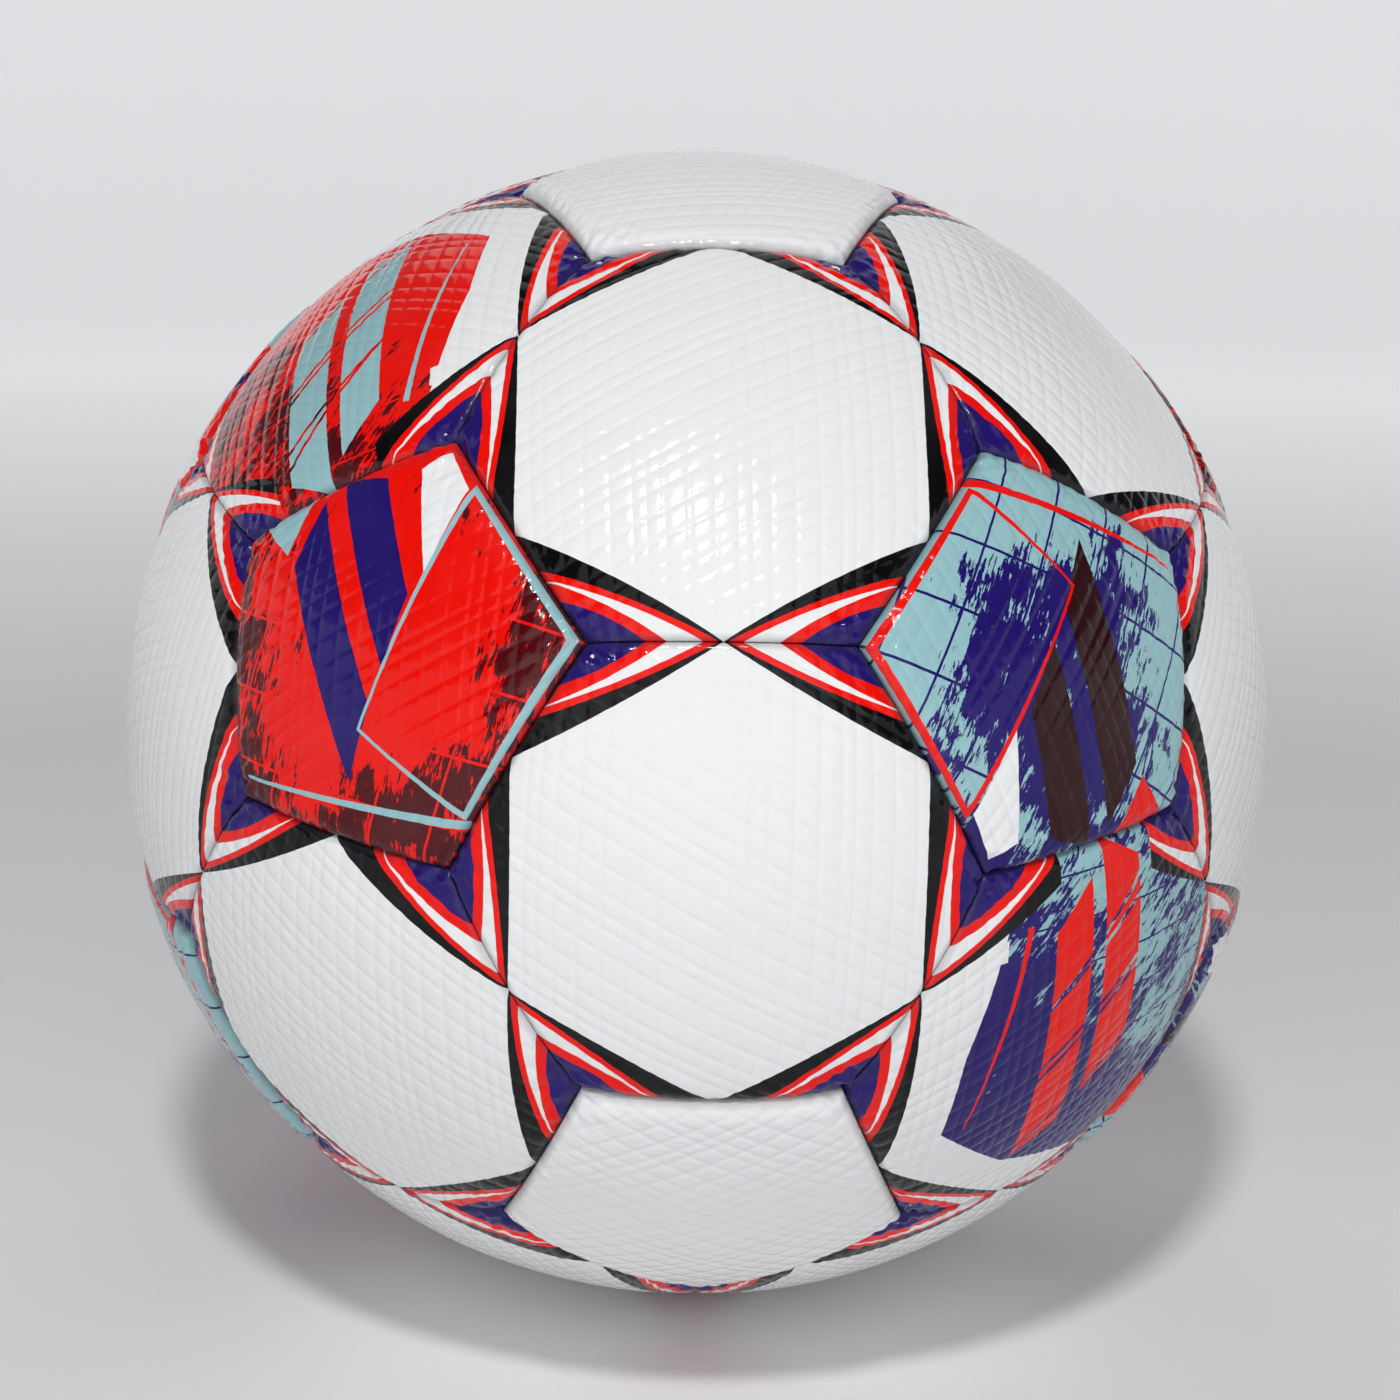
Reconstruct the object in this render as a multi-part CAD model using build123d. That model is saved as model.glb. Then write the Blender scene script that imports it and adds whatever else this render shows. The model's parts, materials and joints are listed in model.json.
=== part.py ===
from build123d import *
from itertools import combinations, product
from math import atan, atan2, cos, degrees, pi, sin, sqrt
import os

# A size 5 soccer ball: 12 pentagonal and 20 hexagonal cover panels, each a moulded skin
# with its edges turned down over a foam pad, bonded to a textile carcass round a rubber
# bladder, with an inflation valve. The panel pattern is a truncated icosahedron.
# Frame: origin at the centre of the ball, +Y out of the valve, +Z up. Millimetres.

# Driving dimensions
ball_circumference = 690.0
ball_radius = ball_circumference / (2 * pi)

skin_thickness = 1.2
foam_thickness = 3.2
carcass_thickness = 1.2
bladder_thickness = 0.8
layer_gap = 0.1  # between stacked layers
seam_gap = 0.3  # between neighbouring panels
seam_round = 2.0  # the skin's turned edge beside a seam
corner_round = 2.6  # the skin's corner where three panels meet
pad_round = 0.8  # the foam pad's edge under the turned skin

needle_port_radius = 1.3
needle_port_depth = 12.0
core_radius = 2.8
core_length = 17.0
core_head_radius = 3.4
core_head_height = 1.2
core_recess = 0.8  # the core's head below the top of the housing
housing_radius = 4.3
housing_recess = 0.4  # the housing's top below the skin's surface
housing_floor = 2.0
housing_top_round = 0.5
housing_flange_radius = 11.0
housing_flange_thickness = 1.4
valve_gap = 0.1  # between the core and its housing
valve_hole_radius = 4.6  # through the skin, pad, carcass and bladder

# The pattern: a truncated icosahedron whose corners lie on the ball
golden = (1 + sqrt(5)) / 2
seam_length = ball_radius / (sqrt(9 * golden + 10) / 2)
valve_tilt = degrees(atan(golden**-2))  # turns a hexagon's centre to +Y

# Radii of the layers, from the surface inwards
pad_top = ball_radius - skin_thickness - layer_gap
pad_bottom = pad_top - foam_thickness
cover_bottom = pad_bottom - layer_gap
carcass_radius = cover_bottom - layer_gap
bladder_radius = carcass_radius - carcass_thickness - layer_gap
flange_radius_from_centre = bladder_radius - bladder_thickness - layer_gap

housing_top = ball_radius - housing_recess
core_top = housing_top - core_recess


def icosahedron_corners():
    """The directions of the 12 pentagons, turned so that a hexagon faces +Y."""
    corners = []
    for one, long in product((1, -1), (golden, -golden)):
        corners += [Vector(0, one, long), Vector(one, long, 0), Vector(long, 0, one)]
    return [corner.rotate(Axis.X, -valve_tilt) for corner in corners]


def are_neighbours(*corners):
    """Whether the icosahedron's corners, whose edge is 2 long, are all joined."""
    return all(abs((a - b).length - 2) < 0.01 for a, b in combinations(corners, 2))


def across(direction, towards):
    """The direction square to the first one that leans towards the second."""
    axis = direction.normalized()
    return (towards - axis * towards.dot(axis)).normalized()


def from_the_top(place):
    """Sorts panels from the top of the ball down, and round it at each height."""
    direction = place.z_dir
    return (-round(direction.Z, 3), round(atan2(direction.X, -direction.Y), 3))


def pentagon_places(corners):
    """A plane for each pentagon: Z out of the ball, X towards one of its corners."""
    places = []
    for corner in corners:
        neighbour = next(other for other in corners if are_neighbours(corner, other))
        places.append(Plane((0, 0, 0), x_dir=across(corner, neighbour), z_dir=corner))
    return sorted(places, key=from_the_top)


def hexagon_places(corners):
    """A plane for each hexagon: Z out of the ball, X towards one of its corners."""
    places = []
    for a, b, c in combinations(corners, 3):
        if are_neighbours(a, b, c):
            centre = (a + b + c) / 3
            hexagon_corner = (a * 2 + b) / 3
            places.append(Plane((0, 0, 0), x_dir=across(centre, hexagon_corner), z_dir=centre))
    return sorted(places, key=from_the_top)


def wedge(sides, inset, bottom, top, side_round):
    """A slice of a pyramid from the ball's centre, its sides set in from the seams."""
    circumradius = seam_length / (2 * sin(pi / sides))
    face_distance = sqrt(ball_radius**2 - circumradius**2)
    slope = circumradius * cos(pi / sides) / face_distance
    outlines = []
    for height in (bottom, top):
        apothem = height * slope - inset * sqrt(1 + slope**2)
        polygon = RegularPolygon(apothem, sides, major_radius=False)
        outlines.append(Plane.XY.offset(height) * polygon)
    walls = []
    for lower, upper in zip(*[outline.edges() for outline in outlines]):
        walls.append(Face(Wire.make_polygon([lower @ 0, lower @ 1, upper @ 1, upper @ 0])))
    solid = Solid(Shell(outlines[0].faces() + outlines[1].faces() + walls))
    return fillet(slanted_edges(solid), side_round)


def slanted_edges(solid):
    """The edges of a wedge that run away from the ball's centre."""
    return [edge for edge in solid.edges() if abs(edge.tangent_at(0).Z) > 0.5]


def panel_block(sides, inset, bottom_radius, top_radius, edge_round, side_round):
    """A piece of one panel between two spheres, with its outer edges rounded."""
    block = wedge(sides, inset, bottom_radius * 0.85, top_radius * 1.05, side_round)
    block &= Sphere(top_radius) - Sphere(bottom_radius)
    outer = block.faces().sort_by(Axis.Z)[-1]
    return fillet(outer.edges(), edge_round)


def panel_skin(sides):
    """A moulded skin, open underneath, with its edges turned down beside the foam."""
    outside = panel_block(
        sides, seam_gap / 2, cover_bottom, ball_radius, seam_round, corner_round
    )
    hollow = panel_block(
        sides,
        seam_gap / 2 + skin_thickness,
        cover_bottom - skin_thickness,
        ball_radius - skin_thickness,
        pad_round,
        corner_round - skin_thickness,
    )
    return outside - hollow


def foam_pad(sides):
    """The foam pad that fills a skin from behind."""
    inset = seam_gap / 2 + skin_thickness + layer_gap
    side_round = corner_round - skin_thickness - layer_gap
    return panel_block(sides, inset, pad_bottom, pad_top, pad_round, side_round)


def hollow_ball(radius, thickness):
    """A closed spherical layer."""
    return Sphere(radius) - Sphere(radius - thickness)


def along_y(radius, start, end):
    """A round bar on the valve's axis, from one distance from the centre to another."""
    bar = Cylinder(radius, end - start, align=(Align.CENTER, Align.CENTER, Align.MIN))
    return Pos(0, start, 0) * Rot(-90, 0, 0) * bar


def valve_hole():
    """The hole that the valve passes through, in every layer."""
    return along_y(valve_hole_radius, 0, ball_radius * 1.1)


def valve_housing():
    """A rubber cup with a flange that is bonded inside the bladder."""
    flange = hollow_ball(flange_radius_from_centre, housing_flange_thickness)
    flange &= along_y(housing_flange_radius, 0, ball_radius)
    bottom = core_top - core_length - housing_floor
    cup = along_y(housing_radius, bottom, housing_top)
    cup = fillet(cup.edges().sort_by(Axis.Y)[-1], housing_top_round)
    pocket = along_y(core_radius + valve_gap, core_top - core_length, ball_radius)
    head_seat = core_top - core_head_height - valve_gap
    head_pocket = along_y(core_head_radius + valve_gap, head_seat, ball_radius)
    return flange + cup - pocket - head_pocket


def valve_core():
    """The rubber insert with the port for an inflation needle."""
    stem = along_y(core_radius, core_top - core_length + valve_gap, core_top)
    head = along_y(core_head_radius, core_top - core_head_height, core_top)
    port = along_y(needle_port_radius, core_top - needle_port_depth, ball_radius)
    return stem + head - port


def place_all(solid, places):
    """One group of copies of a solid, at the given places."""
    return Compound([place.location * solid for place in places])


def save(solid, name):
    export_step(solid, f"parts/{name}.step")


os.makedirs("parts", exist_ok=True)

corners = icosahedron_corners()
pentagons = pentagon_places(corners)
hexagons = hexagon_places(corners)
valve_place = max(hexagons, key=lambda place: place.z_dir.Y)
plain_hexagons = [place for place in hexagons if place is not valve_place]

pentagon_skin = panel_skin(5)
hexagon_skin = panel_skin(6)
for number, place in enumerate(pentagons, 1):
    save(place.location * pentagon_skin, f"pentagon_panel_{number:02d}")
for number, place in enumerate(plain_hexagons, 1):
    save(place.location * hexagon_skin, f"hexagon_panel_{number:02d}")
save(valve_place.location * hexagon_skin - valve_hole(), "valve_panel")

hexagon_pad = foam_pad(6)
save(place_all(foam_pad(5), pentagons), "pentagon_foam_pads")
save(place_all(hexagon_pad, plain_hexagons), "hexagon_foam_pads")
save(valve_place.location * hexagon_pad - valve_hole(), "valve_foam_pad")

save(hollow_ball(carcass_radius, carcass_thickness) - valve_hole(), "carcass")
save(hollow_ball(bladder_radius, bladder_thickness) - valve_hole(), "bladder")
save(valve_housing(), "valve_housing")
save(valve_core(), "valve_core")
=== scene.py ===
import json
import math

import bpy
import numpy as np
from mathutils import Matrix, Vector


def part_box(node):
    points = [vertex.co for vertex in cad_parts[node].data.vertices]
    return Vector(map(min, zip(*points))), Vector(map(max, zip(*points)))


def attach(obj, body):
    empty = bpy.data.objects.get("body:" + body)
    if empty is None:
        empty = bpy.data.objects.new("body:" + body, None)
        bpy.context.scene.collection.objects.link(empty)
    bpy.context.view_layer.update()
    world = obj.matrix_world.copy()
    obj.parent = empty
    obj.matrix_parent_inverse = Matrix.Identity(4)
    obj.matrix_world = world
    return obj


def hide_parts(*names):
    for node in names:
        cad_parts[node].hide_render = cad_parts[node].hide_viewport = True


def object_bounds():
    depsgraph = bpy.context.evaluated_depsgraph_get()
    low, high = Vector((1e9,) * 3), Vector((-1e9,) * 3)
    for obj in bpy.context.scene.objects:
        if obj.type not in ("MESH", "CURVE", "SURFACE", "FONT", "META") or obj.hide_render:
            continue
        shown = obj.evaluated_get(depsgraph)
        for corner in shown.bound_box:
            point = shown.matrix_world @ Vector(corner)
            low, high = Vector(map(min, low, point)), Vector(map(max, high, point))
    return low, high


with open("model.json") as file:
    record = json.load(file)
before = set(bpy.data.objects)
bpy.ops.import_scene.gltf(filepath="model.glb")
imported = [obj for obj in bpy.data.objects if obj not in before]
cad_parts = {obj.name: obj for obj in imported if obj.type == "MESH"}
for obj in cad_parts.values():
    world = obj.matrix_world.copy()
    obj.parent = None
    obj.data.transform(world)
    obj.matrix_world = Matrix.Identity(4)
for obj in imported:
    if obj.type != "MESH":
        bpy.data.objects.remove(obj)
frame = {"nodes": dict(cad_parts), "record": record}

# ---------------------------------------------------------------- driving values
MM = 0.001
CAD_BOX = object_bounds()
RADIUS = max(CAD_BOX[1] - CAD_BOX[0]) / 2     # the ball's outer radius, metres
BALL = RADIUS / MM                            # the same in millimetres
PHI = (1 + 5 ** 0.5) / 2
TILT = -math.atan(PHI ** -2)                  # turns the panel pattern so that the valve is at +Y
VALVE_MOUNT = next(m for m in frame["record"]["mounts"] if m["name"] == "needle_port")

# The panels, in mm. Depths are below the ball's radius, and distances are from the seam.
HALF_GAP = 0.12           # half of the gap between two panels
SKIN = 1.25               # cover thickness at a turned-down edge
UNDERSIDE_DEPTH = 1.28    # how deep the cover's inner face lies
EDGE_DEPTH = 4.4          # how far a panel's turned-down edge reaches
LIP = 0.15                # size of the chamfer at the foot of that edge
WALL_DEPTH = 2.6          # a row in the outer wall
INNER_WALL_DEPTHS = (2.4, 1.55)   # rows in the inner wall
FOLD_ZONE = 3.0           # width of the finely meshed zone beside a seam
FOLD_STEPS = (2.4, 1.9, 1.45, 1.05, 0.75, 0.5, 0.32, 0.2, HALF_GAP)
CELLS = 72                # mesh cells along a panel side
UNDERSIDE_SCALES = (0.92, 0.8, 0.62, 0.4, 0.2)    # outlines of the inner face's rows

# The relief, in mm. The first three lines say how a panel's edge falls at a seam: the depth
# and width of its fold, the depth of the broad hollow beside it, and the size of its puckers.
PENTAGON_EDGE = (2.2, 4.2, 0.15, 0.26)
EDGE_BESIDE_PENTAGON = (1.5, 2.4, 0.75, 0.35)
EDGE_BESIDE_HEXAGON = (0.8, 1.5, 0.3, 0.2)
PENTAGON_PROUD = 0.5      # how far the pentagons stand out of the hexagons
HOLLOW_REACH = 4.5        # how far the broad hollow beside a seam reaches
PUCKER_REACH = 3.0
PUCKER_LENGTHS = (2.7, 3.8, 6.1)
CRUMPLE_LENGTHS = (2.3, 2.9, 3.7, 4.7, 6.1)       # the wrinkles at a panel's corners
CRUMPLE_SIZE, CRUMPLE_SINK, CRUMPLE_REACH = 1.1, 0.4, 7.0
UNEVEN_SIZE, UNEVEN_LENGTHS = 0.12, (19, 27, 34)  # the slight unevenness of a whole panel
GROOVES = (1.5, 5.4, 9.1, 11.9, 14.0)             # emboss grooves in each period
PERIOD = 16.0
GROOVE_WIDTH = 0.5        # of the grooves in the mesh
PRESSED_WIDTH = 0.65      # of the same grooves in the material
EMBOSS_DEPTH = 0.09
EMBOSS_START, EMBOSS_FADE = 0.3, 1.4              # the emboss fades out beside a seam
CROSSING = math.radians(31)   # each groove family's angle from the panel side it follows
PLACE_SHIFT = 400 * PERIOD    # keeps the places across the grooves above zero

# The hole for the valve, in mm.
VALVE_HOLE_ROOM = 1.2     # the hole is wider than the valve core by this on each side
HOLE_ROUNDING = 1.1       # width of the rounded edge of the hole
HOLE_DEPTH = 0.7          # how deep that edge falls
HOLE_ROWS = 60            # mesh rows between the hole and the fold zone
HOLE_SINK = 0.12          # how much deeper the inner face lies at the hole
HOLE_STEPS = (0.1, 0.3, 0.55, 0.8, 1)    # the inner face's rows, as parts of the way to the hole

PUCKER_SEED = 700         # each panel adds its number to this
LAY_SEED = 31             # for the way that each panel was cut from the sheet


def srgb(red, green, blue):
    """A screen colour, 0 to 255, as linear RGBA."""
    def linear(value):
        value /= 255
        return value / 12.92 if value <= 0.04045 else ((value + 0.055) / 1.055) ** 2.4
    return (linear(red), linear(green), linear(blue), 1)


WHITE = srgb(236, 237, 238)
BLACK = srgb(6, 6, 9)
RED = srgb(238, 14, 2)
PURPLE = srgb(34, 18, 104)
TEAL = srgb(150, 192, 198)
MAROON = srgb(80, 4, 12)
BROWN = srgb(44, 6, 11)


# ---------------------------------------------------------------- where the panels are
def turned(point):
    """A direction of the upright icosahedron pattern, turned into the ball's frame."""
    x, y, z = point
    cosine, sine = math.cos(TILT), math.sin(TILT)
    return np.array((x, cosine * y - sine * z, sine * y + cosine * z))


def unit(vector):
    return np.asarray(vector, float) / np.linalg.norm(vector)


def icosahedron_corners():
    corners = []
    for a in (-1, 1):
        for b in (-PHI, PHI):
            corners += [(0, a, b), (a, b, 0), (b, 0, a)]
    return corners


CORNERS = icosahedron_corners()
NEIGHBOUR_COSINE = 1 / 5 ** 0.5


def are_neighbours(a, b):
    return abs(unit(a) @ unit(b) - NEIGHBOUR_COSINE) < 0.01


def pair_of(corner):
    """The corner beside this one across the nearest coordinate plane."""
    return tuple(-value if abs(value) == 1 else value for value in corner)


def node_direction(name):
    low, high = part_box(name)
    return unit((low + high) / 2)


PANEL_CENTRES = {name: node_direction(name) for name in frame["nodes"] if "panel" in name}


class Panel:
    """One cover panel: its place, its outline and the axes that its print follows.

    A flat point is a place in mm in the plane through the panel's corners, with the panel's
    middle as its origin. A ray from the ball's centre through it meets the cover.
    """

    def __init__(self, centre, towards, sides, first_corner):
        self.base = np.array(centre, float)
        self.centre = unit(turned(centre))
        self.x = unit(turned(towards) - self.centre * (turned(towards) @ self.centre))
        self.y = np.cross(self.centre, self.x)
        self.sides = sides
        self.first_corner = first_corner
        corner = (2 * turned(CORNERS[0]) + turned(pair_of(CORNERS[0]))) / 3
        seam_length = np.linalg.norm(turned(CORNERS[0]) - turned(pair_of(CORNERS[0]))) / 3
        scale = BALL / np.linalg.norm(corner)
        self.side = seam_length * scale
        self.circle = self.side / 2 / math.sin(math.pi / sides)
        self.apothem = self.side / 2 / math.tan(math.pi / sides)
        self.height = math.sqrt(BALL ** 2 - self.circle ** 2)
        self.node = max(PANEL_CENTRES, key=lambda name: PANEL_CENTRES[name] @ self.centre)
        self.number = sorted(PANEL_CENTRES).index(self.node) + 1
        self.pentagon_sides = [sides == 6 and k % 2 == 1 for k in range(sides)]
        self.emboss_angle = 0     # make_cover turns it, as if the panel were cut from a sheet

    def side_angles(self):
        step = 2 * math.pi / self.sides
        return [self.first_corner + step * (k + 0.5) for k in range(self.sides)]

    def corner_points(self):
        step = 2 * math.pi / self.sides
        angles = [self.first_corner + step * k for k in range(self.sides + 1)]
        return np.array([(math.cos(a), math.sin(a)) for a in angles]) * self.circle

    def placed(self, flat, radius):
        """Points of the flat panel, pushed out along their rays to a radius in mm, in metres."""
        rays = flat[:, :1] * self.x + flat[:, 1:] * self.y + self.height * self.centre
        rays /= np.linalg.norm(rays, axis=1)[:, None]
        return rays * radius[:, None] * MM


def make_panels():
    panels = []
    for corner in CORNERS:
        panels.append(Panel(corner, pair_of(corner), 5, 0))
    for i, a in enumerate(CORNERS):
        for j, b in enumerate(CORNERS[:i]):
            for c in CORNERS[:j]:
                if are_neighbours(a, b) and are_neighbours(b, c) and are_neighbours(a, c):
                    first = next((p for p in (a, b, c) if p[2] == 0), a)
                    centre = np.array(a) + np.array(b) + np.array(c)
                    panels.append(Panel(centre, first, 6, math.radians(30)))
    return panels


# ---------------------------------------------------------------- the shape of a panel
def seam_distances(panel, flat):
    """How far each point is from each seam along the ball, and its place along that seam, mm."""
    rays = np.column_stack([flat, np.full(len(flat), panel.height)])
    rays /= np.linalg.norm(rays, axis=1)[:, None]
    away, along = [], []
    for angle in panel.side_angles():
        normal = unit((math.cos(angle), math.sin(angle), -panel.apothem / panel.height))
        away.append(-np.arcsin(rays @ normal) * BALL)
        along.append(-flat[:, 0] * math.sin(angle) + flat[:, 1] * math.cos(angle))
    return np.array(away), np.array(along)


def fold(away, width, depth):
    """The rounded edge of a panel: how deep it falls towards a seam."""
    closeness = np.clip((width - away) / width, 0, 1)
    return depth * (1 - np.sqrt(1 - closeness ** 2))


def waves(chance, place, lengths):
    """A smooth random line made of a few sine waves."""
    total = 0
    for length in lengths:
        phase = chance.uniform(0, 2 * math.pi)
        total = total + np.sin(2 * math.pi * place / length + phase) * chance.uniform(0.5, 1)
    return total / len(lengths)


def ripples(chance, flat, lengths):
    """A smooth random field of crossing waves."""
    total = 0
    for length in lengths:
        angle = chance.uniform(0, math.pi)
        place = flat[:, 0] * math.cos(angle) + flat[:, 1] * math.sin(angle)
        total = total + waves(chance, place, (length,))
    return total / len(lengths)


def emboss_places(panel, flat):
    """Each point's place across the two groove families, mm."""
    places = []
    for turn in (CROSSING, -CROSSING):
        angle = panel.emboss_angle + turn + math.pi / 2
        place = flat[:, 0] * math.cos(angle) + flat[:, 1] * math.sin(angle)
        places.append(place + PLACE_SHIFT)
    return places


def groove(place):
    """Depth of the emboss across one family of grooves, 0 to 1."""
    wrapped = place % PERIOD
    nearest = np.min([np.abs(wrapped - middle) for middle in GROOVES], axis=0)
    return np.exp(-(nearest / GROOVE_WIDTH) ** 2)


def edge_shape(panel, pentagon_side):
    if panel.sides == 5:
        return PENTAGON_EDGE
    return EDGE_BESIDE_PENTAGON if pentagon_side else EDGE_BESIDE_HEXAGON


def drop(panel, flat):
    """How far the cover lies below the ball's radius at each point, mm.

    Where two folds meet, the cube root of the sum of their cubes joins them smoothly.
    """
    chance = np.random.default_rng(PUCKER_SEED + panel.number)
    away, along = seam_distances(panel, flat)
    total = np.zeros(len(flat))
    folds = np.zeros(len(flat))
    for k, pentagon_side in enumerate(panel.pentagon_sides):
        depth, width, broad, pucker_size = edge_shape(panel, pentagon_side)
        folds += fold(away[k], width, depth) ** 3
        total += broad * np.exp(-away[k] / HOLLOW_REACH)
        pucker = waves(chance, along[k], PUCKER_LENGTHS)
        total += pucker_size * pucker * np.exp(-away[k] / PUCKER_REACH)
    total += np.cbrt(folds)
    crumple = CRUMPLE_SIZE * ripples(chance, flat, CRUMPLE_LENGTHS) + CRUMPLE_SINK
    for corner in panel.corner_points()[:-1]:
        reach = np.linalg.norm(flat - corner, axis=1)
        total += crumple * np.exp(-(reach / CRUMPLE_REACH) ** 2)
    total += UNEVEN_SIZE * ripples(chance, flat, UNEVEN_LENGTHS)
    if panel.sides == 5:
        total -= PENTAGON_PROUD
    inside = np.clip((away.min(axis=0) - EMBOSS_START) / EMBOSS_FADE, 0, 1)
    for place in emboss_places(panel, flat):
        total += EMBOSS_DEPTH * groove(place) * inside
    return total


def ring(panel, scale, cells):
    """Points evenly round the panel's outline, shrunk by scale."""
    corners = panel.corner_points() * scale
    if cells == 0:
        return np.zeros((1, 2))
    steps = np.arange(cells)[:, None] / cells
    return np.vstack([corners[k] * (1 - steps) + corners[k + 1] * steps
                      for k in range(panel.sides)])


def scale_at(panel, away):
    """The outline scale whose sides lie this far inside the seams, mm."""
    seam = math.atan(panel.apothem / panel.height)
    return panel.height * math.tan(seam - away / BALL) / panel.apothem


class Surface:
    """Collects rings of points, with the faces between them."""

    def __init__(self, panel):
        self.panel = panel
        self.flat, self.radius, self.faces, self.count = [], [], [], 0

    def add(self, flat, radius):
        start = self.count
        self.flat.append(flat)
        self.radius.append(np.broadcast_to(radius, len(flat)).astype(float))
        self.count += len(flat)
        return start

    def join(self, first, second, size):
        """Faces between two rings of the same size."""
        k = np.arange(size)
        after = (k + 1) % size
        self.faces.append(np.column_stack([first + k, second + k, second + after]))
        self.faces.append(np.column_stack([first + k, second + after, first + after]))

    def fill(self, starts, rows):
        """Faces of the sector grid, whose ring r holds r points for each side."""
        sides = self.panel.sides
        for r in range(1, rows + 1):
            for k in range(sides):
                outer = starts[r] + (k * r + np.arange(r + 1)) % (sides * r)
                if r == 1:
                    inner = np.array([starts[0]])
                else:
                    inner = starts[r - 1] + (k * (r - 1) + np.arange(r)) % (sides * (r - 1))
                self.faces.append(np.column_stack([inner, outer[:-1], outer[1:]]))
                if r > 1:
                    self.faces.append(np.column_stack([inner[:-1], outer[1:-1], inner[1:]]))

    def mesh(self, name):
        flat = np.vstack(self.flat)
        points = self.panel.placed(flat, np.concatenate(self.radius))
        faces = np.vstack(self.faces).astype(np.int32)
        data = bpy.data.meshes.new(name)
        data.vertices.add(len(points))
        data.vertices.foreach_set("co", points.astype(np.float32).ravel())
        data.loops.add(faces.size)
        data.loops.foreach_set("vertex_index", faces.ravel())
        data.polygons.add(len(faces))
        data.polygons.foreach_set("loop_start", np.arange(0, faces.size, 3, dtype=np.int32))
        data.polygons.foreach_set("use_smooth", np.ones(len(faces), bool))
        data.update(calc_edges=True)
        data.validate()
        away = seam_distances(self.panel, flat)[0].min(axis=0)
        places = emboss_places(self.panel, flat)
        store(data, "flat", np.column_stack([flat, away]))
        store(data, "emboss", np.column_stack([*places, np.zeros(len(flat))]))
        return data


def store(data, name, vectors):
    layer = data.attributes.new(name, "FLOAT_VECTOR", "POINT")
    layer.data.foreach_set("vector", vectors.astype(np.float32).ravel())


def turned_down_edge(surface, last, size, edge):
    """The panel's outer wall, its foot and its inner wall, down from its outer ring."""
    panel = surface.panel
    inner = ring(panel, scale_at(panel, HALF_GAP + SKIN), CELLS)
    foot = ring(panel, scale_at(panel, HALF_GAP + LIP), CELLS)
    walls = [(edge, WALL_DEPTH), (edge, EDGE_DEPTH - LIP), (foot, EDGE_DEPTH), (inner, EDGE_DEPTH)]
    walls += [(inner, depth) for depth in INNER_WALL_DEPTHS]
    for flat, depth in walls:
        start = surface.add(flat, BALL - depth)
        surface.join(last, start, size)
        last = start
    return last


def plain_panel_mesh(panel, name):
    surface = Surface(panel)
    size = panel.sides * CELLS
    inner_scale = scale_at(panel, FOLD_ZONE)
    starts = []
    for r in range(CELLS + 1):
        flat = ring(panel, inner_scale * r / CELLS, r)
        starts.append(surface.add(flat, BALL - drop(panel, flat)))
    surface.fill(starts, CELLS)
    last = starts[-1]
    for away in FOLD_STEPS:
        edge = ring(panel, scale_at(panel, away), CELLS)
        start = surface.add(edge, BALL - drop(panel, edge))
        surface.join(last, start, size)
        last = start
    last = turned_down_edge(surface, last, size, edge)
    for scale in UNDERSIDE_SCALES:
        start = surface.add(ring(panel, scale, CELLS), BALL - UNDERSIDE_DEPTH)
        surface.join(last, start, size)
        last = start
    middle = surface.add(np.zeros((1, 2)), BALL - UNDERSIDE_DEPTH)
    k = np.arange(size)
    surface.faces.append(np.column_stack([last + k, np.full(size, middle), last + (k + 1) % size]))
    return surface.mesh(name)


def valve_panel_mesh(panel, name):
    """A panel whose rings run from the valve hole's circle out to the panel's outline."""
    surface = Surface(panel)
    size = panel.sides * CELLS
    hole = valve_hole_radius()
    outline = ring(panel, scale_at(panel, FOLD_ZONE), CELLS)
    spokes = outline / np.linalg.norm(outline, axis=1)[:, None]
    near_hole = [hole + HOLE_ROUNDING * (1 - math.cos(math.radians(a))) for a in range(0, 91, 15)]
    circle = spokes * near_hole[-1]
    rows = [spokes * reach for reach in near_hole]
    rows += [circle * (1 - t) + outline * t for t in np.arange(1, HOLE_ROWS + 1) / HOLE_ROWS]
    rows += [ring(panel, scale_at(panel, away), CELLS) for away in FOLD_STEPS]
    first = last = None
    for flat in rows:
        beyond_hole = np.linalg.norm(flat, axis=1) - hole
        depth = drop(panel, flat) + fold(beyond_hole, HOLE_ROUNDING, HOLE_DEPTH)
        start = surface.add(flat, BALL - depth)
        if last is None:
            first = start
        else:
            surface.join(last, start, size)
        last = start
    last = turned_down_edge(surface, last, size, rows[-1])
    smallest = spokes * hole
    for t in HOLE_STEPS:
        flat = outline * (1 - t) + smallest * t
        start = surface.add(flat, BALL - UNDERSIDE_DEPTH - HOLE_SINK * t)
        surface.join(last, start, size)
        last = start
    surface.join(last, first, size)
    return surface.mesh(name)


def valve_hole_radius():
    """The hole in the cover goes round the head of the valve core with a little room, mm."""
    low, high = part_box("valve_core")
    return (high.x - low.x) / 2 / MM + VALVE_HOLE_ROOM


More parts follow.
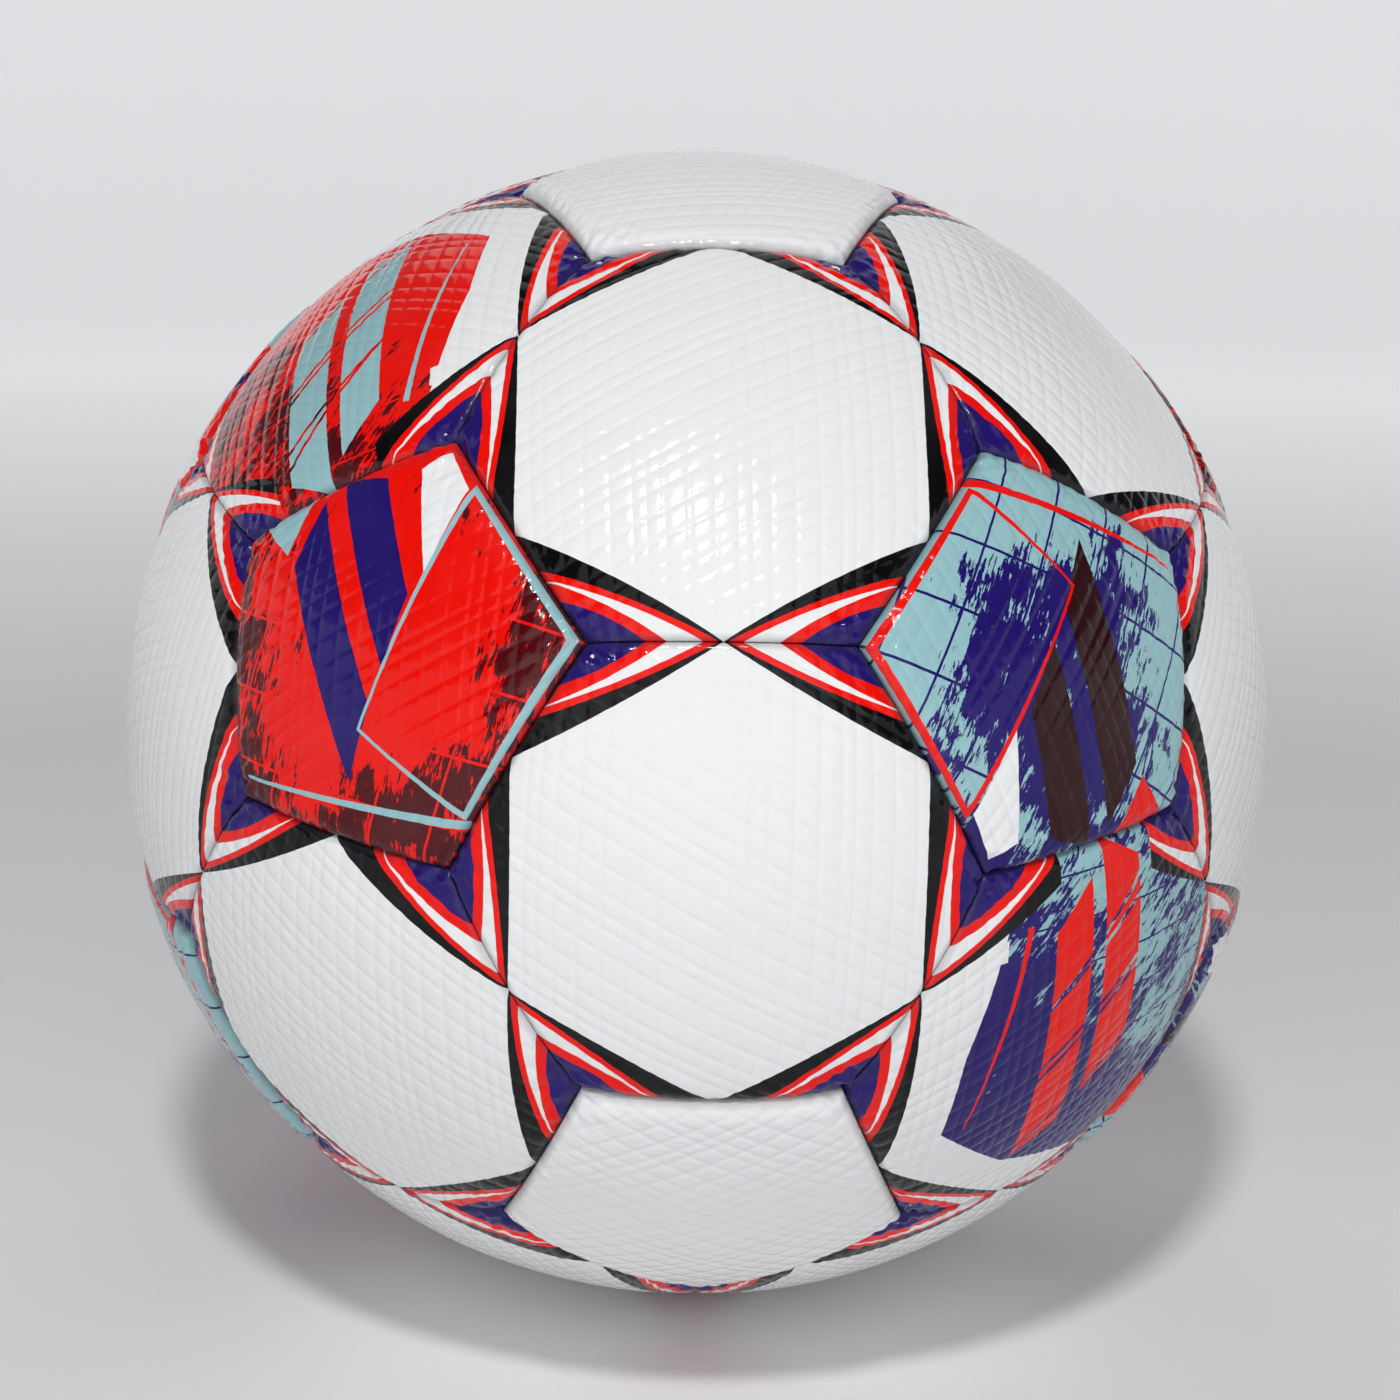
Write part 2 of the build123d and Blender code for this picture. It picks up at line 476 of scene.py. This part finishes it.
# ---------------------------------------------------------------- sums in materials
class Field:
    """A number that a material's nodes work out at each point of a surface."""

    def __init__(self, tree, socket):
        self.tree, self.socket = tree, socket

    def math(self, operation, *others, clamp=False):
        node = self.tree.nodes.new("ShaderNodeMath")
        node.operation = operation
        node.use_clamp = clamp
        for slot, value in zip(node.inputs, (self, *others)):
            if isinstance(value, Field):
                self.tree.links.new(value.socket, slot)
            else:
                slot.default_value = value
        return Field(self.tree, node.outputs[0])

    def __add__(self, other):
        return self.math("ADD", other)

    def __sub__(self, other):
        return self.math("SUBTRACT", other)

    def __mul__(self, other):
        return self.math("MULTIPLY", other)

    def __neg__(self):
        return self.math("MULTIPLY", -1.0)

    def __abs__(self):
        return self.math("ABSOLUTE")

    def least(self, other):
        return self.math("MINIMUM", other)

    def most(self, other):
        return self.math("MAXIMUM", other)

    def between(self, low, high):
        return self.most(low).least(high)

    def shown(self, softness=0.08):
        """1 where the field is above zero and 0 where it is below, with a soft edge."""
        return self.math("MULTIPLY_ADD", 1 / softness, 0.5, clamp=True)


def attribute(tree, name):
    """The three numbers that a mesh attribute holds."""
    source = tree.nodes.new("ShaderNodeAttribute")
    source.attribute_name = name
    parts = tree.nodes.new("ShaderNodeSeparateXYZ")
    tree.links.new(source.outputs["Vector"], parts.inputs[0])
    return [Field(tree, output) for output in parts.outputs]


def rotated(x, y, angle):
    cosine, sine = math.cos(angle), math.sin(angle)
    return (x * cosine) - (y * sine), (x * sine) + (y * cosine)


def noise(x, y, size, stretch=1.0, detail=2.0, seed=0.0, roughness=0.5):
    """Random field from 0 to 1 with marks of this size in mm, drawn out along y by stretch."""
    tree = x.tree
    place = tree.nodes.new("ShaderNodeCombineXYZ")
    for slot, value in zip(place.inputs, (x * (1 / size), y * (1 / size / stretch))):
        tree.links.new(value.socket, slot)
    place.inputs[2].default_value = seed
    node = tree.nodes.new("ShaderNodeTexNoise")
    node.inputs["Scale"].default_value = 1
    node.inputs["Detail"].default_value = detail
    node.inputs["Roughness"].default_value = roughness
    tree.links.new(place.outputs[0], node.inputs["Vector"])
    return Field(tree, node.outputs["Fac"])


def half_plane(x, y, start, end):
    """Distance to the left of the line from start to end."""
    along = Vector(end) - Vector(start)
    along.normalize()
    normal = Vector((-along.y, along.x))
    first = x.math("MULTIPLY_ADD", normal.x, -normal.dot(Vector(start)))
    return y.math("MULTIPLY_ADD", normal.y, first)


def polygon(x, y, *corners):
    """Distance inside a convex outline given anticlockwise."""
    distance = None
    for start, end in zip(corners, corners[1:] + corners[:1]):
        edge = half_plane(x, y, start, end)
        distance = edge if distance is None else distance.least(edge)
    return distance


def stroke(x, y, start, end, width_start, width_end):
    """A straight stroke that tapers from one width to the other."""
    along = (Vector(end) - Vector(start)).normalized()
    side = Vector((-along.y, along.x))
    a, b = Vector(start), Vector(end)
    return polygon(x, y, tuple(a - side * width_start / 2), tuple(b - side * width_end / 2),
                   tuple(b + side * width_end / 2), tuple(a + side * width_start / 2))


def lines(x, y, angle, spacing, width):
    """Thin parallel lines at an angle."""
    across = rotated(x, y, -angle)[1]
    return -(across.math("PINGPONG", spacing / 2) - width / 2)


class Print:
    """A colour built up layer by layer."""

    def __init__(self, tree, colour):
        self.tree, self.colour = tree, colour

    def layer(self, mask, colour):
        mix = self.tree.nodes.new("ShaderNodeMix")
        mix.data_type = "RGBA"
        self.tree.links.new(mask.socket, mix.inputs["Factor"])
        for slot, value in ((mix.inputs[6], self.colour), (mix.inputs[7], colour)):
            if isinstance(value, tuple):
                slot.default_value = value
            else:
                self.tree.links.new(value, slot)
        self.colour = mix.outputs[2]


# ---------------------------------------------------------------- printed patterns
# The star is the corner print: bands of colour, each one laid over the last.
STAR_ON_EDGE = (0, 0.34, 0.43, 0.44, 0.62)   # where the bands start, from a pentagon side's middle
STAR_ON_SEAM = (0, 0.03, 0.14, 0.40, 0.55)   # where they end, from the other seam's middle
STAR_BOW = 0.9                               # how far the bands' edges bow outwards, mm
STAR_WOBBLE, WOBBLE_SIZE = 0.16, 2.2         # how unsteady those edges are, mm
STAR_COLOURS = (BLACK, RED, WHITE, RED, PURPLE)

# Places on the printed panels, in mm from the panel's middle, anticlockwise round an outline.
KITE = ((17.5, 26.5), (-1.5, -12), (16.5, -27.5), (36.8, 0.3))
LONG_BAR = ((-15.5, 15.0), (-3.6, -20), (0.9, -8.4), (-10.8, 25.8))
SHORT_BAR = ((-7.8, 29.5), (3.3, -2.8), (7.6, 8.3), (1.2, 28.5))
WEDGE = ((7.5, 29.5), (10.2, 11.5), (16.5, 25.5), (12.0, 33))
TAG = ((-26, 24), (-17.5, 17), (-13.5, 27), (-20, 32))    # a small piece at the panel's edge
BASE_LINE = ((-27, -18.5), (17, -28.5))
# Brush marks thicken to the left of each of these lines, by so much for each mm.
THICKENING = (((21, 32), (15, -32), 0.05), ((40, -7), (-30, -24), 0.06),
              ((-12, -30), (-17, 30), 0.03))
PENTAGON_STREAKS = math.radians(70)          # the angle of the brush's streaks
RED_COVERAGE, PURPLE_COVERAGE = -0.34, 0.0   # how thickly brush marks cover a pentagon

FIELD_TURN = math.radians(292.2)             # turns a hexagon's axes to those of its field
FIELD = ((-45, 14), (-45, -45), (22, -45), (27, -20), (23.2, 4), (17.8, 19.5), (-1.3, 24.5),
         (-24, 23))
NOTCH = ((24.6, -13.5), (26.0, -17), (33, -16), (33, -10))
FIELD_LONG_BAR = ((-12.2, -1.5), (3.2, -35), (13.5, -37), (-8.5, 8.7))
FIELD_SHORT_BAR = ((-7.6, 14.6), (13.2, -30), (16.8, -19.5), (-2.9, 23.4))
SPLITS = (((-4.9, -17.7), (5.2, 3.0)), ((0.8, -2.4), (4.9, 6.5)), ((6.5, -15.5), (11.0, -6.5)),
          ((1.6, -31.7), (5.3, -21.7)), ((-12, -4), (-8, 6)))
SPLIT_WIDTH = 0.7
SLIVER = ((14.2, 17.5), (22.6, -20))
FIELD_THICKENING = ((40, -24), (-46, 6))
FIELD_STREAKS = math.radians(66)
# The star stops where the field crosses the seam to its printed pentagon: places along the seam
# are measured from this line, and the stretch has a middle, a length and a reach into the panel.
CROSSING_LINE = ((14.5, -35.5), (22.1, -54.0))
CROSSING_MIDDLE, CROSSING_LENGTH, CROSSING_REACH = -3.0, 21, 11


def star_fields(x, y, panel):
    """For each band of the corner print, how far inside its outer edge a point is."""
    sixth = math.pi / 3
    angle = y.math("ARCTAN2", x).math("PINGPONG", sixth)
    reach = (x * x + y * y).math("SQRT")
    x, y = reach * angle.math("COSINE"), reach * angle.math("SINE")
    corner = Vector((panel.apothem, panel.side / 2))
    tip = Vector((panel.apothem * math.cos(sixth), panel.apothem * math.sin(sixth)))
    wobble = noise(x, y, WOBBLE_SIZE, seed=4.0) * STAR_WOBBLE - STAR_WOBBLE / 2
    fields = []
    for on_edge, on_seam in zip(STAR_ON_EDGE, STAR_ON_SEAM):
        low = Vector((panel.apothem, on_edge * panel.side / 2))
        high = tip + (corner - tip) * on_seam
        way = (high - low).normalized()
        square = low + Vector((way.y, -way.x))
        part = (half_plane(x, y, low, square) * (1 / (high - low).length)).between(0.0, 1.0)
        bow = part * (part * -1.0 + 1.0) * STAR_BOW * 4
        fields.append(-half_plane(x, y, low, high) + bow + wobble)
    return fields


def brush(x, y, angle, seed):
    """Dry-brush marks: patches broken up by streaks that run at an angle. Above 0 is inked."""
    across, along = rotated(x, y, math.pi / 2 - angle)
    patches = noise(across, along, 12, stretch=1.4, seed=seed)
    blots = noise(across, along, 3.0, stretch=2.2, detail=4.0, seed=seed + 3, roughness=0.65)
    streaks = noise(across, along, 0.6, stretch=7.0, detail=4.0, seed=seed + 5, roughness=0.65)
    return (patches - 0.5) * 1.6 + (blots - 0.5) * 1.9 + (streaks - 0.5) * 1.6


def broken_by(marks, grid):
    """Brush marks with thin lines left clear of them."""
    return marks.least(-grid * 4.0)


def pentagon_print(tree, x, y, base, rough_colour, coverage, bar_colour, outline_colour):
    """Two bars, an outlined kite and brush marks broken by thin lines."""
    ink = Print(tree, base)
    strength = None
    for start, end, rate in THICKENING:
        thicker = half_plane(x, y, start, end) * rate
        strength = thicker if strength is None else strength.most(thicker)
    strength = strength.between(-0.3, 0.5) + coverage
    grid = lines(x, y, math.radians(-18), 11.5, 0.5)
    grid = grid.most(lines(x, y, math.radians(66), 10.5, 0.45))
    marks = brush(x, y, PENTAGON_STREAKS, 1.0) + strength
    ink.layer(broken_by(marks, grid).shown(0.05), rough_colour)
    bars = polygon(x, y, *LONG_BAR).most(polygon(x, y, *SHORT_BAR))
    ink.layer(bars.shown(), bar_colour)
    ink.layer(polygon(x, y, *WEDGE).shown(), WHITE)
    kite = polygon(x, y, *KITE)
    rim_width = (x * 0.035 + 0.4).between(0.5, 1.6)
    ink.layer(kite.least(rim_width - kite).shown(), outline_colour)
    ink.layer(stroke(x, y, *BASE_LINE, 0.5, 1.6).shown(), outline_colour)
    ink.layer(polygon(x, y, *TAG).shown(), outline_colour)
    return ink


def hexagon_print(tree, x, y, base, rough_colour, bar_colour, panel):
    """A field that runs off the panel, with two split bars and brush marks."""
    ink = Print(tree, WHITE)
    star = star_fields(x, y, panel)
    near_seam = panel.apothem - CROSSING_REACH
    beside_seam = half_plane(x, y, (near_seam, 30), (near_seam, -30))
    x, y = rotated(x, y, FIELD_TURN)
    field = polygon(x, y, *FIELD).least(-polygon(x, y, *NOTCH))
    ink.layer(field.shown(), base)
    strength = (half_plane(x, y, *FIELD_THICKENING) * 0.04).between(-0.5, 0.25) - 0.16
    marks = (brush(x, y, FIELD_STREAKS, 3.0) + strength).least(field)
    grid = lines(x, y, math.radians(20), 8.5, 0.4)
    ink.layer(broken_by(marks, grid).shown(0.05), rough_colour)
    bars = polygon(x, y, *FIELD_LONG_BAR).most(polygon(x, y, *FIELD_SHORT_BAR))
    for start, end in SPLITS:
        bars = bars.least(abs(half_plane(x, y, start, end)) - SPLIT_WIDTH / 2)
    ink.layer(bars.shown(), bar_colour)
    ink.layer(stroke(x, y, *SLIVER, 0.3, 1.1).shown(), bar_colour)
    along_seam = half_plane(x, y, *CROSSING_LINE) - CROSSING_MIDDLE
    crossing = (-abs(along_seam) + CROSSING_LENGTH / 2).least(beside_seam)
    for outer, colour in zip(star, STAR_COLOURS):
        ink.layer(outer.least(-crossing).shown(), colour)
    return ink


def plain_hexagon_print(tree, x, y, panel):
    ink = Print(tree, WHITE)
    for outer, colour in zip(star_fields(x, y, panel), STAR_COLOURS):
        ink.layer(outer.shown(), colour)
    return ink


# ---------------------------------------------------------------- the cover material
SEAM_SHADE_REACH, SEAM_SHADE_SLOPE = 1.5, 0.9    # painted shade in the seam creases starts this many mm from a seam, and its rate per mm
# the colour of the painted seam shade, and how much of the print it covers
SEAM_SHADE_COLOUR, SEAM_SHADE_COVER = srgb(58, 54, 62), 0.55
HAZE_COLOUR, HAZE_COVER = srgb(205, 208, 216), 0.06
GLOSS = 0.075                          # the roughness of clean leather
SCUFF_SIZE, SCUFF_STRETCH = 1.1, 5.0   # mm, and how many times longer than wide
PRESSED_DEPTH, GRAIN_DEPTH = 0.06, 0.004    # mm


def groove_field(place):
    """Depth of the emboss across one family of grooves, 0 to 1."""
    wrapped = place.math("FLOORED_MODULO", PERIOD)
    nearest = None
    for middle in GROOVES:
        distance = abs(wrapped - middle)
        nearest = distance if nearest is None else nearest.least(distance)
    return nearest.math("MULTIPLY_ADD", -1 / PRESSED_WIDTH, 1.0, clamp=True)


def new_material(name):
    material = bpy.data.materials.new(name)
    material.use_nodes = True
    tree = material.node_tree
    return material, tree, tree.nodes["Principled BSDF"]


def bump(tree, height, distance, under=None):
    node = tree.nodes.new("ShaderNodeBump")
    node.inputs["Distance"].default_value = distance
    node.inputs["Strength"].default_value = 1.0
    tree.links.new(height.socket, node.inputs["Height"])
    if under is not None:
        tree.links.new(under.outputs[0], node.inputs["Normal"])
    return node


def cover_material(name, make_print):
    """Glossy synthetic leather: print, emboss, fine grain, painted shade and dulled gloss in the
    seams, and faint scuffs.
    """
    material, tree, shader = new_material(name)
    x, y, away = attribute(tree, "flat")
    first, second, _ = attribute(tree, "emboss")
    ink = make_print(tree, x, y)
    # Painted shade: a dark violet-grey laid along the bottom of each seam's fold, where the crease
    # lies in shade. The same mask dulls the gloss there.
    near_seam = (away * -SEAM_SHADE_SLOPE + SEAM_SHADE_REACH * SEAM_SHADE_SLOPE).between(0.0, 1.0)
    seam_shade = near_seam * (noise(x, y, 5, detail=3.0, seed=2.0) * 0.7 + 0.25)
    ink.layer(seam_shade * SEAM_SHADE_COVER, SEAM_SHADE_COLOUR)
    cloud = noise(x, y, 16, detail=3.0, seed=7.0)
    ink.layer((cloud - 0.45).math("MULTIPLY", HAZE_COVER, clamp=True), HAZE_COLOUR)
    tree.links.new(ink.colour, shader.inputs["Base Color"])
    grooves = groove_field(first).most(groove_field(second))
    scuffs = noise(x, y, SCUFF_SIZE, SCUFF_STRETCH, detail=3.0, seed=12.0, roughness=0.7)
    scuffs = (scuffs - 0.64).math("MULTIPLY", 1.2, clamp=True)
    rough = grooves * 0.05 + GLOSS + cloud * 0.05 + scuffs + seam_shade * 0.25
    tree.links.new(rough.socket, shader.inputs["Roughness"])
    grain = noise(x, y, 0.32, detail=2.0, seed=5.0)
    faded = (away * 0.8 - 0.3).between(0.0, 1.0)
    pressed = bump(tree, grooves * faded * -PRESSED_DEPTH, MM)
    fine = bump(tree, grain * GRAIN_DEPTH, MM, under=pressed)
    tree.links.new(fine.outputs[0], shader.inputs["Normal"])
    shader.inputs["Coat Weight"].default_value = 0.08
    shader.inputs["Coat Roughness"].default_value = 0.08
    shader.inputs["Specular IOR Level"].default_value = 0.22
    return material


def cover_materials(panels):
    """A material for each kind of print."""
    hexagon = next(p for p in panels if p.sides == 6)
    plain = cover_material("cover_white_plain", lambda tree, x, y: Print(tree, WHITE))
    star = cover_material("cover_white_star",
                          lambda tree, x, y: plain_hexagon_print(tree, x, y, hexagon))
    red = cover_material("cover_red_print", lambda tree, x, y: pentagon_print(
        tree, x, y, RED, MAROON, RED_COVERAGE, PURPLE, TEAL))
    purple = cover_material("cover_purple_print", lambda tree, x, y: pentagon_print(
        tree, x, y, PURPLE, TEAL, PURPLE_COVERAGE, BROWN, RED))
    red_field = cover_material("cover_red_field", lambda tree, x, y: hexagon_print(
        tree, x, y, RED, MAROON, TEAL, hexagon))
    purple_field = cover_material("cover_purple_field", lambda tree, x, y: hexagon_print(
        tree, x, y, PURPLE, TEAL, RED, hexagon))
    return {"plain": plain, "star": star, "red": red, "purple": purple,
            "red_field": red_field, "purple_field": purple_field}


def kind_of(panel):
    """Which print a panel carries, from its place in the pattern."""
    x, y, z = panel.base
    if panel.sides == 5:
        if x == 0:
            return "plain"
        if z == 0:
            return "red" if x * y > 0 else "purple"
        return "red" if z > 0 else "purple"
    printed = min(abs(x), abs(y), abs(z)) > 0.1 and x * y * z > 0
    if not printed:
        return "star"
    return "red_field" if z > 0 else "purple_field"


def make_cover():
    """A piece for each cover panel, with its print and its body; the CAD panel that it stands for
    is hidden.
    """
    panels = make_panels()
    materials = cover_materials(panels)
    chance = np.random.default_rng(LAY_SEED)
    for panel in panels:
        step = 2 * math.pi / panel.sides
        turn = int(chance.integers(panel.sides))
        panel.emboss_angle = panel.side_angles()[0] + math.pi / 2 + turn * step
        name = panel.node.replace("panel", "cover")
        if panel.node == "valve_panel":
            data = valve_panel_mesh(panel, name)
        else:
            data = plain_panel_mesh(panel, name)
        piece = bpy.data.objects.new(name, data)
        bpy.context.scene.collection.objects.link(piece)
        kind = kind_of(panel)
        data.materials.append(materials[kind])
        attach(piece, "root")
        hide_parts(panel.node)


# ---------------------------------------------------------------- the inner pieces
def object_space(tree):
    """A point's place on the ball: the socket in metres, and three fields in millimetres."""
    source = tree.nodes.new("ShaderNodeTexCoord")
    parts = tree.nodes.new("ShaderNodeSeparateXYZ")
    tree.links.new(source.outputs["Object"], parts.inputs[0])
    return source.outputs["Object"], [Field(tree, output) * 1000.0 for output in parts.outputs]


def texture(tree, kind, place, scale, output, **settings):
    """A texture node's output, with this many features to the metre."""
    node = tree.nodes.new(kind)
    tree.links.new(place, node.inputs["Vector"])
    node.inputs["Scale"].default_value = scale
    for key, value in settings.items():
        node.inputs[key].default_value = value
    return Field(tree, node.outputs[output])


def foam_material():
    """Closed-cell foam: small round cells and a slight yellowing."""
    material, tree, shader = new_material("foam_cells")
    place, _ = object_space(tree)
    cells = texture(tree, "ShaderNodeTexVoronoi", place, 1400, "Distance")
    cloud = texture(tree, "ShaderNodeTexNoise", place, 60, "Fac", Detail=3.0)
    ink = Print(tree, srgb(232, 231, 224))
    ink.layer(cloud.math("MULTIPLY", 0.5, clamp=True), srgb(222, 214, 190))
    ink.layer((cells * -1.0 + 0.35).math("MULTIPLY", 1.6, clamp=True), srgb(190, 186, 172))
    tree.links.new(ink.colour, shader.inputs["Base Color"])
    tree.links.new((cells * 0.15 + 0.78).socket, shader.inputs["Roughness"])
    tree.links.new(bump(tree, cells, 0.2 * MM).outputs[0], shader.inputs["Normal"])
    shader.inputs["Specular IOR Level"].default_value = 0.25
    return material


THREADS = 4.2            # radians of weave for each mm, which makes threads 0.75 mm wide
THREAD_SLANT = 0.35


def carcass_material():
    """Woven cotton and polyester: two crossing sets of threads, with latex between them."""
    material, tree, shader = new_material("woven_textile")
    place, (x, y, z) = object_space(tree)
    warp = ((x + z * THREAD_SLANT) * THREADS).math("SINE")
    weft = ((y - z * THREAD_SLANT) * THREADS).math("SINE")
    over = (warp * weft).math("MULTIPLY_ADD", 0.5, 0.5)
    threads = abs(warp) * over + abs(weft) * (over * -1.0 + 1.0)
    cloud = texture(tree, "ShaderNodeTexNoise", place, 45, "Fac", Detail=4.0)
    ink = Print(tree, srgb(170, 160, 130))
    ink.layer(threads.math("MULTIPLY", 1.0, clamp=True), srgb(226, 220, 200))
    ink.layer((cloud - 0.4).math("MULTIPLY", 0.9, clamp=True), srgb(206, 192, 150))
    tree.links.new(ink.colour, shader.inputs["Base Color"])
    tree.links.new((threads * -0.15 + 0.85).socket, shader.inputs["Roughness"])
    tree.links.new(bump(tree, threads, 0.25 * MM).outputs[0], shader.inputs["Normal"])
    shader.inputs["Specular IOR Level"].default_value = 0.2
    return material


def rubber_material(name, colour, dust, roughness, dust_amount):
    """Moulded rubber: dark, with fine pores and a dusting of talc."""
    material, tree, shader = new_material(name)
    place, _ = object_space(tree)
    cloud = texture(tree, "ShaderNodeTexNoise", place, 70, "Fac", Detail=5.0)
    pores = texture(tree, "ShaderNodeTexNoise", place, 1800, "Fac", Detail=2.0)
    ink = Print(tree, colour)
    ink.layer((cloud - 0.42).math("MULTIPLY", dust_amount, clamp=True), dust)
    tree.links.new(ink.colour, shader.inputs["Base Color"])
    tree.links.new((cloud * 0.2 + roughness).socket, shader.inputs["Roughness"])
    tree.links.new(bump(tree, pores, 0.06 * MM).outputs[0], shader.inputs["Normal"])
    shader.inputs["Specular IOR Level"].default_value = 0.35
    return material


# For each rubber piece: its material's name, its colour, its dust, its roughness, how much dust.
RUBBERS = {
    "bladder": ("talced_rubber", srgb(30, 29, 31), srgb(120, 118, 116), 0.55, 1.3),
    "valve_housing": ("moulded_rubber", srgb(42, 42, 45), srgb(96, 95, 96), 0.5, 0.5),
    "valve_core": ("core_rubber", srgb(24, 24, 27), srgb(80, 80, 82), 0.38, 0.4),
}


def dress_inner_pieces():
    """The inner pieces keep their CAD meshes and get their own materials."""
    foam = foam_material()
    inner = {"pentagon_foam_pads": foam, "hexagon_foam_pads": foam, "valve_foam_pad": foam,
             "carcass": carcass_material()}
    for node, (name, colour, dust, roughness, dust_amount) in RUBBERS.items():
        inner[node] = rubber_material(name, colour, dust, roughness, dust_amount)
    for node, material in inner.items():
        shown = frame["nodes"][node]
        for holder in shown.material_slots:
            holder.material = material


# ---------------------------------------------------------------- floor, light and camera
FLOOR_FLAT, FLOOR_BEND = 1.7, 0.9      # radius of the flat floor and of its upward bend, metres
FLOOR_RINGS = (0.3, 0.8)               # rings within the flat floor
FLOOR_SIDES, BEND_STEPS = 96, 14
GLOW_START = 0.45                      # the backdrop glows beyond this distance, metres
GLOW = 0.42


def floor_mesh(level):
    """A round floor that curves up into a low backdrop."""
    profile = [(reach, 0.0) for reach in (*FLOOR_RINGS, FLOOR_FLAT)]
    for k in range(1, BEND_STEPS + 1):
        angle = math.radians(90 * k / BEND_STEPS)
        profile.append((FLOOR_FLAT + FLOOR_BEND * math.sin(angle),
                        FLOOR_BEND * (1 - math.cos(angle))))
    points = [(0.0, 0.0, level)]
    for reach, rise in profile:
        for k in range(FLOOR_SIDES):
            turn = 2 * math.pi * k / FLOOR_SIDES
            points.append((reach * math.cos(turn), reach * math.sin(turn), level + rise))
    faces = [(0, 1 + k, 1 + (k + 1) % FLOOR_SIDES) for k in range(FLOOR_SIDES)]
    for row in range(len(profile) - 1):
        inner = 1 + row * FLOOR_SIDES
        outer = inner + FLOOR_SIDES
        for k in range(FLOOR_SIDES):
            after = (k + 1) % FLOOR_SIDES
            faces.append((inner + k, outer + k, outer + after, inner + after))
    data = bpy.data.meshes.new("studio_floor")
    data.from_pydata(points, [], faces)
    data.polygons.foreach_set("use_smooth", [True] * len(faces))
    return data


def paper_material():
    """Pale matt paper that glows a little, away from the ball."""
    material, tree, shader = new_material("studio_paper")
    place, (east, north, _) = object_space(tree)
    fibre = texture(tree, "ShaderNodeTexNoise", place, 500, "Fac", Detail=3.0)
    ink = Print(tree, (0.93, 0.93, 0.935, 1))
    ink.layer(fibre * 0.1, (0.88, 0.88, 0.88, 1))
    tree.links.new(ink.colour, shader.inputs["Base Color"])
    shader.inputs["Roughness"].default_value = 0.9
    shader.inputs["Specular IOR Level"].default_value = 0.1
    shader.inputs["Emission Color"].default_value = (0.97, 0.98, 1.0, 1)
    far = (east * east + north * north).math("SQRT")
    glow = (far * MM - GLOW_START).between(0.0, 1.0) * GLOW
    tree.links.new(glow.socket, shader.inputs["Emission Strength"])
    return material


def make_stage():
    """The ball stands on the floor. The valve is level with the ball's centre."""
    data = floor_mesh(VALVE_MOUNT["pos_m"][2] - RADIUS)
    data.materials.append(paper_material())
    floor = bpy.data.objects.new("studio_floor", data)
    bpy.context.scene.collection.objects.link(floor)


def direction(azimuth, elevation):
    """Azimuth 0 is towards -Y, and positive angles turn towards +X."""
    a, e = math.radians(azimuth), math.radians(elevation)
    return Vector((math.sin(a) * math.cos(e), -math.cos(a) * math.cos(e), math.sin(e)))


def area_light(name, azimuth, elevation, distance, size, power):
    """A round lamp that faces the ball."""
    lamp = bpy.data.lights.new(name, "AREA")
    lamp.shape = "DISK"
    lamp.size = size
    lamp.energy = power
    holder = bpy.data.objects.new(name, lamp)
    bpy.context.scene.collection.objects.link(holder)
    towards = direction(azimuth, elevation)
    holder.location = towards * distance
    holder.rotation_euler = (-towards).to_track_quat("-Z", "Y").to_euler()


# Each lamp's name, azimuth, elevation, distance and size in metres, and power in watts.
LAMPS = (("key", -5, 52, 1.25, 0.13, 6.0),
         ("rear_fill", 178, 45, 1.3, 1.3, 2.6),
         ("front_softbox", -2, 22, 1.3, 1.6, 5.3))
SKY_COLOUR, SKY_STRENGTH = (0.93, 0.95, 1.0, 1), 0.11


def make_lights():
    world = bpy.data.worlds.new("studio")
    bpy.context.scene.world = world
    world.use_nodes = True
    sky = world.node_tree.nodes["Background"]
    sky.inputs["Color"].default_value = SKY_COLOUR
    sky.inputs["Strength"].default_value = SKY_STRENGTH
    for lamp in LAMPS:
        area_light(*lamp)


CAMERA_AZIMUTH = -2.24        # degrees
CAMERA_ELEVATION = 14.11
CAMERA_DISTANCE = 5.07        # in ball radii
CAMERA_LENS = 72.9            # mm, on a sensor 36 mm wide
AIM_RIGHT, AIM_UP = 0.56 * MM, 4.52 * MM    # where the camera aims, from the ball's centre
CAMERA_ROLL = math.radians(1.22)


def make_camera():
    lens = bpy.data.cameras.new("camera")
    lens.lens = CAMERA_LENS
    lens.sensor_width = 36
    camera = bpy.data.objects.new("camera", lens)
    bpy.context.scene.collection.objects.link(camera)
    back = direction(CAMERA_AZIMUTH, CAMERA_ELEVATION)
    place = back * CAMERA_DISTANCE * RADIUS
    right = Vector((0, 0, 1)).cross(back).normalized()
    up = back.cross(right)
    aim = right * AIM_RIGHT + up * AIM_UP
    back = (place - aim).normalized()
    right = up.cross(back).normalized()
    up = back.cross(right)
    tilted_right = right * math.cos(CAMERA_ROLL) + up * math.sin(CAMERA_ROLL)
    tilted_up = up * math.cos(CAMERA_ROLL) - right * math.sin(CAMERA_ROLL)
    turn = Matrix((tilted_right, tilted_up, back)).transposed()
    camera.matrix_world = Matrix.Translation(place) @ turn.to_4x4()
    bpy.context.scene.camera = camera


make_cover()
dress_inner_pieces()
make_stage()
make_lights()
make_camera()
bpy.context.scene.view_settings.view_transform = "Standard"
